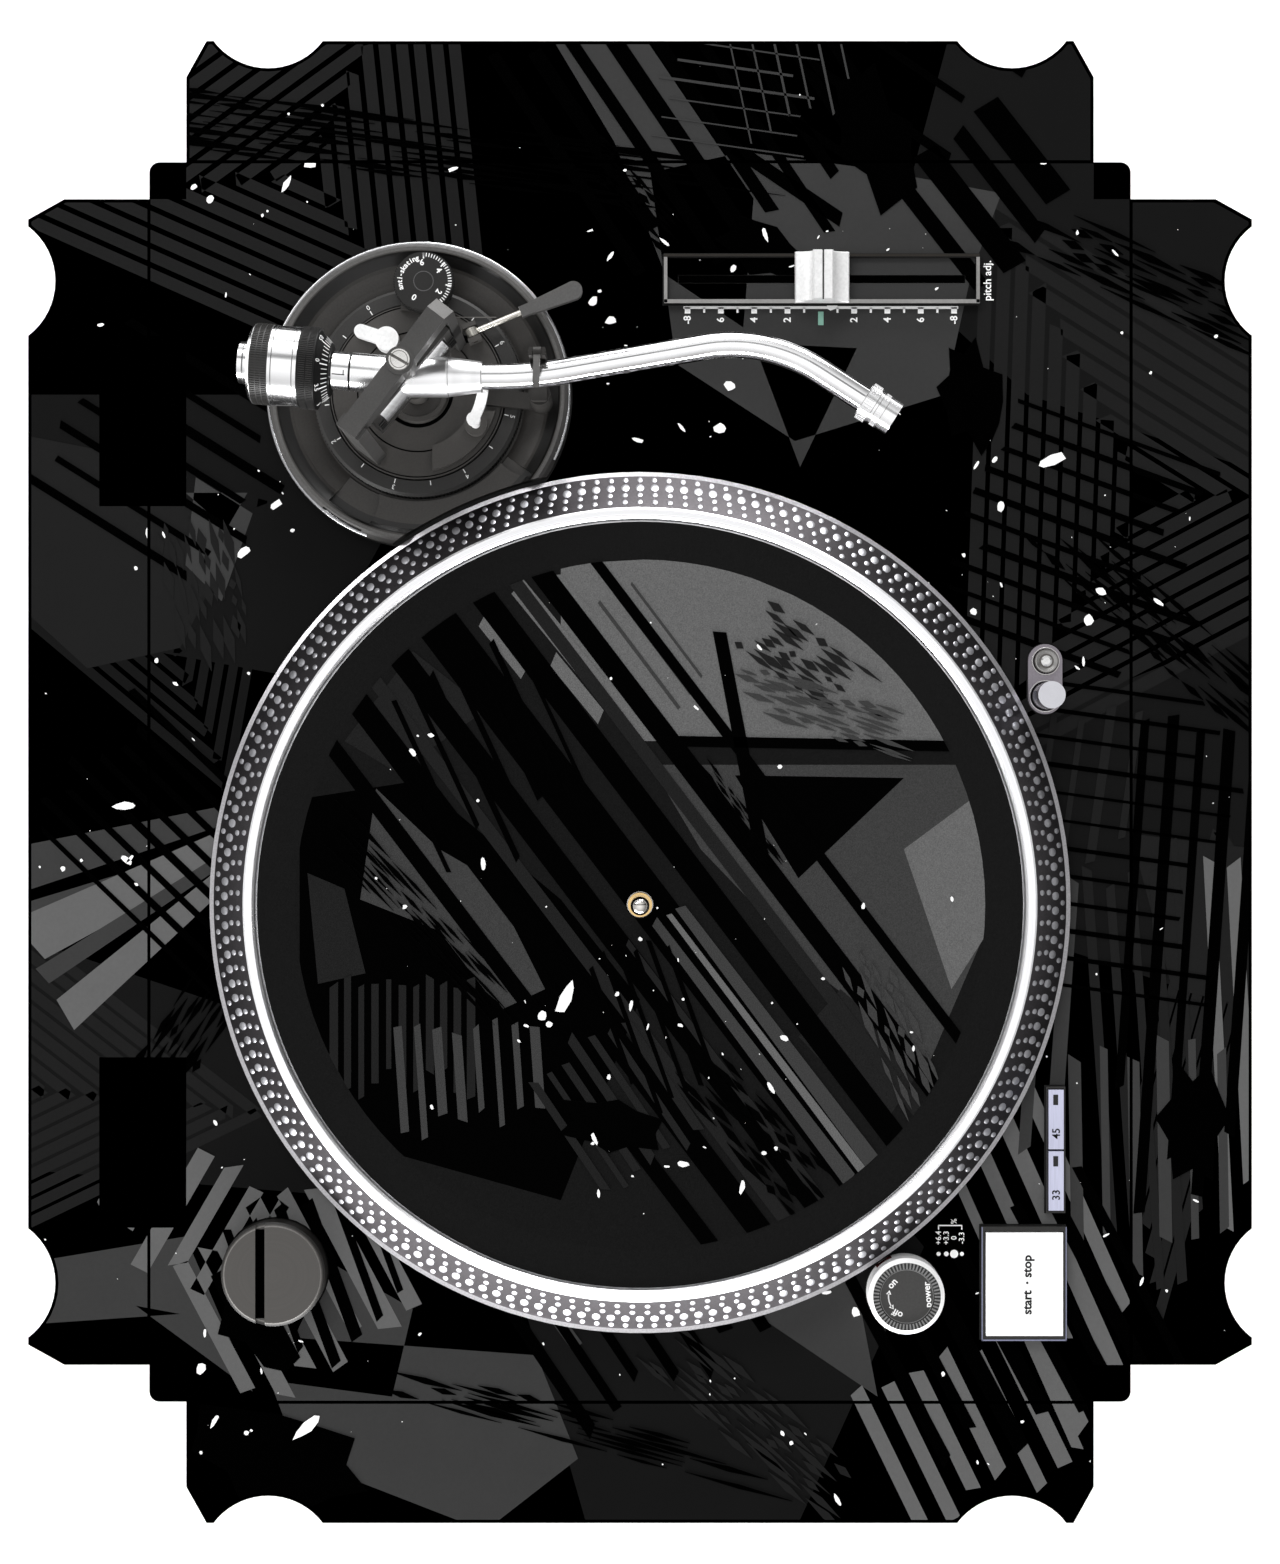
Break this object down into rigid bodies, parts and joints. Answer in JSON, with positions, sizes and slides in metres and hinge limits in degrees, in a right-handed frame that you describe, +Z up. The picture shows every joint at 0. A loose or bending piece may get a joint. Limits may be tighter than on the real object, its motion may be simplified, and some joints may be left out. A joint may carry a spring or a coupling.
{
  "type": "turntable record player",
  "caption": "Flat direct-drive record player with an S-shaped tonearm, pitch fader, slipmat and a printed vinyl skin whose side flaps fold down over the cabinet.",
  "frame": {"origin": "centre of the footprint, on the surface that the feet stand on", "axes": "+Z up, +X towards the tonearm side (the player's right), -Y towards the front where the start button is"},
  "size_m": [0.5738, 0.4738, 0.1744],
  "materials": {
    "cabinet": "fine-grained black paint",
    "base_tray": "moulded black rubber",
    "foot_pads": "soft rubber",
    "foot_shells": "black moulding",
    "base_fasteners": "zinc-plated steel",
    "skin_top": "printed vinyl film",
    "skin_flap_rear": "printed vinyl film",
    "skin_flap_left": "printed vinyl film",
    "skin_flap_front": "printed vinyl film",
    "skin_flap_right": "printed vinyl film",
    "platter": "machined die casting",
    "slipmat": "printed felt",
    "spindle": "polished steel",
    "spindle_collar": "turned brass",
    "rotor_magnet": "ferrite ring",
    "motor_stator": "copper windings",
    "circuit_boards": "green laminate",
    "spindle_bearing": "cast housing",
    "fader_bezel": "black moulding",
    "pitch_fader": "silver-white cap",
    "fader_potentiometer": "pressed steel case",
    "start_stop_button": "pearl white cap",
    "key_switches": "tact switches",
    "key_frames": "dark frames",
    "speed_key_33": "silver cap",
    "speed_key_45": "silver cap",
    "dial_base": "turned collar",
    "power_dial": "ribbed grey dial",
    "power_switch": "switch body",
    "strobe_lamp": "red lens",
    "light_plate": "anodised plate",
    "target_light": "brushed cylinder",
    "light_key": "round key",
    "adaptor_45": "dark grey puck",
    "rear_panel": "socket panel",
    "signal_sockets": "gold-plated sockets",
    "power_inlet": "appliance inlet",
    "transformer": "shielded transformer",
    "arm_base": "dark grey dish with bright rim",
    "arm_guide": "turned guide",
    "height_ring": "ribbed black ring",
    "arm_column": "dark grey casting",
    "arm_bridge": "dark grey casting",
    "pivot_screw": "slotted steel",
    "antiskate_knob": "black knob with white scale",
    "lock_lever": "white lever",
    "cue_lever": "dark paddle on a steel rod",
    "cue_lifter": "white lifter",
    "arm_rest": "dark rest",
    "rest_clamp": "dark strap",
    "gimbal_ring": "dark casting",
    "arm_housing": "satin silver",
    "arm_tube": "satin silver",
    "headshell_socket": "machined socket",
    "contact_pins": "gilt pins",
    "collar_nut": "satin silver collar",
    "rear_shaft": "satin silver",
    "weight_sleeve": "nylon sleeve",
    "counterweight": "satin silver and knurled black",
    "force_dial": "black scale ring"
  },
  "bodies": {
    "chassis": {"cabinet": "cabinet", "base_tray": "base_tray", "foot_pads": "foot_pads", "foot_shells": "foot_shells", "base_fasteners": "base_fasteners", "skin_top": "skin_top", "motor_stator": "motor_stator", "circuit_boards": "circuit_boards", "spindle_bearing": "spindle_bearing", "fader_bezel": "fader_bezel", "fader_potentiometer": "fader_potentiometer", "key_frames": "key_frames", "key_switches": "key_switches", "dial_base": "dial_base", "power_switch": "power_switch", "strobe_lamp": "strobe_lamp", "light_plate": "light_plate", "rear_panel": "rear_panel", "signal_sockets": "signal_sockets", "power_inlet": "power_inlet", "transformer": "transformer", "arm_base": "arm_base", "arm_guide": "arm_guide"},
    "platter": {"platter": "platter", "spindle": "spindle", "spindle_collar": "spindle_collar", "rotor_magnet": "rotor_magnet"},
    "slipmat": {"slipmat": "slipmat"},
    "flap_rear": {"skin_flap_rear": "skin_flap_rear"},
    "flap_left": {"skin_flap_left": "skin_flap_left"},
    "flap_front": {"skin_flap_front": "skin_flap_front"},
    "flap_right": {"skin_flap_right": "skin_flap_right"},
    "pitch_fader": {"pitch_fader": "pitch_fader"},
    "start_stop_button": {"start_stop_button": "start_stop_button"},
    "speed_key_33": {"speed_key_33": "speed_key_33"},
    "speed_key_45": {"speed_key_45": "speed_key_45"},
    "power_dial": {"power_dial": "power_dial"},
    "target_light": {"target_light": "target_light"},
    "light_key": {"light_key": "light_key"},
    "adaptor_45": {"adaptor_45": "adaptor_45"},
    "height_ring": {"height_ring": "height_ring"},
    "arm_column": {"arm_column": "arm_column", "arm_bridge": "arm_bridge", "pivot_screw": "pivot_screw", "arm_rest": "arm_rest"},
    "antiskate_knob": {"antiskate_knob": "antiskate_knob"},
    "lock_lever": {"lock_lever": "lock_lever"},
    "cue_lever": {"cue_lever": "cue_lever"},
    "cue_lifter": {"cue_lifter": "cue_lifter"},
    "rest_clamp": {"rest_clamp": "rest_clamp"},
    "gimbal": {"gimbal_ring": "gimbal_ring"},
    "tonearm": {"arm_housing": "arm_housing", "arm_tube": "arm_tube", "headshell_socket": "headshell_socket", "contact_pins": "contact_pins", "rear_shaft": "rear_shaft"},
    "collar_nut": {"collar_nut": "collar_nut"},
    "weight_sleeve": {"weight_sleeve": "weight_sleeve"},
    "counterweight": {"counterweight": "counterweight"},
    "force_dial": {"force_dial": "force_dial"}
  },
  "joints": [
    {"name": "platter_spin", "type": "hinge", "parent": "chassis", "child": "platter", "pos_m": [-0.0465, 0, 0.115], "axis": [0, 0, -1], "continuous": true},
    {"name": "slipmat_slip", "type": "hinge", "parent": "platter", "child": "slipmat", "pos_m": [-0.0465, 0, 0.117], "axis": [0, 0, -1], "continuous": true},
    {"name": "flap_rear_fold", "type": "hinge", "parent": "chassis", "child": "flap_rear", "pos_m": [0, 0.19035, 0.1], "axis": [-1, 0, 0], "range_deg": [0, 90]},
    {"name": "flap_left_fold", "type": "hinge", "parent": "chassis", "child": "flap_left", "pos_m": [-0.24035, 0, 0.1], "axis": [0, -1, 0], "range_deg": [0, 90]},
    {"name": "flap_front_fold", "type": "hinge", "parent": "chassis", "child": "flap_front", "pos_m": [0, -0.19035, 0.1], "axis": [1, 0, 0], "range_deg": [0, 90]},
    {"name": "flap_right_fold", "type": "hinge", "parent": "chassis", "child": "flap_right", "pos_m": [0.24035, 0, 0.1], "axis": [0, 1, 0], "range_deg": [0, 90]},
    {"name": "pitch_slide", "type": "slide", "parent": "chassis", "child": "pitch_fader", "axis": [0, -1, 0], "range_m": [-0.05, 0.05]},
    {"name": "start_stop_press", "type": "slide", "parent": "chassis", "child": "start_stop_button", "axis": [0, 0, -1], "range_m": [0, 0.001], "stiffness_N_per_m": 1500},
    {"name": "speed_33_press", "type": "slide", "parent": "chassis", "child": "speed_key_33", "axis": [0, 0, -1], "range_m": [0, 0.0008], "stiffness_N_per_m": 1500},
    {"name": "speed_45_press", "type": "slide", "parent": "chassis", "child": "speed_key_45", "axis": [0, 0, -1], "range_m": [0, 0.0008], "stiffness_N_per_m": 1500},
    {"name": "power_dial_turn", "type": "hinge", "parent": "chassis", "child": "power_dial", "pos_m": [-0.1971, -0.1022, 0.11], "axis": [0, 0, -1], "range_deg": [0, 60]},
    {"name": "target_light_rise", "type": "slide", "parent": "chassis", "child": "target_light", "axis": [0, 0, 1], "range_m": [-0.0105, 0]},
    {"name": "light_key_press", "type": "slide", "parent": "chassis", "child": "light_key", "axis": [0, 0, -1], "range_m": [0, 0.001], "stiffness_N_per_m": 1500},
    {"name": "adaptor_lift", "type": "slide", "parent": "chassis", "child": "adaptor_45", "axis": [0, 0, 1], "range_m": [0, 0.03]},
    {"name": "arm_height_turn", "type": "hinge", "parent": "chassis", "child": "height_ring", "pos_m": [0.1495, 0.0852, 0.105], "axis": [0, 0, -1], "range_deg": [0, 300]},
    {"name": "arm_height", "type": "slide", "parent": "chassis", "child": "arm_column", "axis": [0, 0, 1], "range_m": [0, 0.006]},
    {"name": "antiskate_turn", "type": "hinge", "parent": "arm_column", "child": "antiskate_knob", "pos_m": [0.19, 0.0821, 0.115], "axis": [0, 0, -1], "range_deg": [0, 250]},
    {"name": "lock_lever_turn", "type": "hinge", "parent": "arm_column", "child": "lock_lever", "pos_m": [0.1686, 0.0964, 0.112], "axis": [0, 0, -1], "range_deg": [0, 60]},
    {"name": "cue_lever_tilt", "type": "hinge", "parent": "arm_column", "child": "cue_lever", "pos_m": [0.1714, 0.064, 0.113], "axis": [-0.9245, -0.3811, 0], "range_deg": [0, 50]},
    {"name": "cue_lift", "type": "slide", "parent": "arm_column", "child": "cue_lifter", "axis": [0, 0, 1], "range_m": [0, 0.005]},
    {"name": "rest_clamp_fold", "type": "hinge", "parent": "arm_column", "child": "rest_clamp", "pos_m": [0.1571, 0.03761, 0.1482], "axis": [0, 1, 0], "range_deg": [-38, 75]},
    {"name": "tonearm_swing", "type": "hinge", "parent": "arm_column", "child": "gimbal", "pos_m": [0.1495, 0.0852, 0.14], "axis": [0, 0, -1], "range_deg": [0, 46]},
    {"name": "tonearm_tilt", "type": "hinge", "parent": "gimbal", "child": "tonearm", "pos_m": [0.1495, 0.0852, 0.14], "axis": [-0.766, 0.6428, 0], "range_deg": [0, 5]},
    {"name": "collar_turn", "type": "hinge", "parent": "tonearm", "child": "collar_nut", "pos_m": [0.14164, -0.08201, 0.14], "axis": [-0.5402, -0.8415, 0], "range_deg": [0, 90]},
    {"name": "weight_slide", "type": "slide", "parent": "tonearm", "child": "weight_sleeve", "axis": [0.0872, 0.9962, 0], "range_m": [0, 0.008]},
    {"name": "weight_turn", "type": "hinge", "parent": "weight_sleeve", "child": "counterweight", "pos_m": [0.15342, 0.13003, 0.14], "axis": [0.0872, 0.9962, 0], "range_deg": [0, 720]},
    {"name": "force_dial_turn", "type": "hinge", "parent": "counterweight", "child": "force_dial", "pos_m": [0.15264, 0.12106, 0.14], "axis": [0.0872, 0.9962, 0], "continuous": true}
  ],
  "couplings": [
    {"joint": "arm_height_turn", "follows": "arm_height", "rad_per_m": 872.6},
    {"joint": "cue_lift", "follows": "cue_lever_tilt", "m_per_rad": 0.00572},
    {"joint": "weight_slide", "follows": "weight_turn", "m_per_rad": 0.000636}
  ]
}
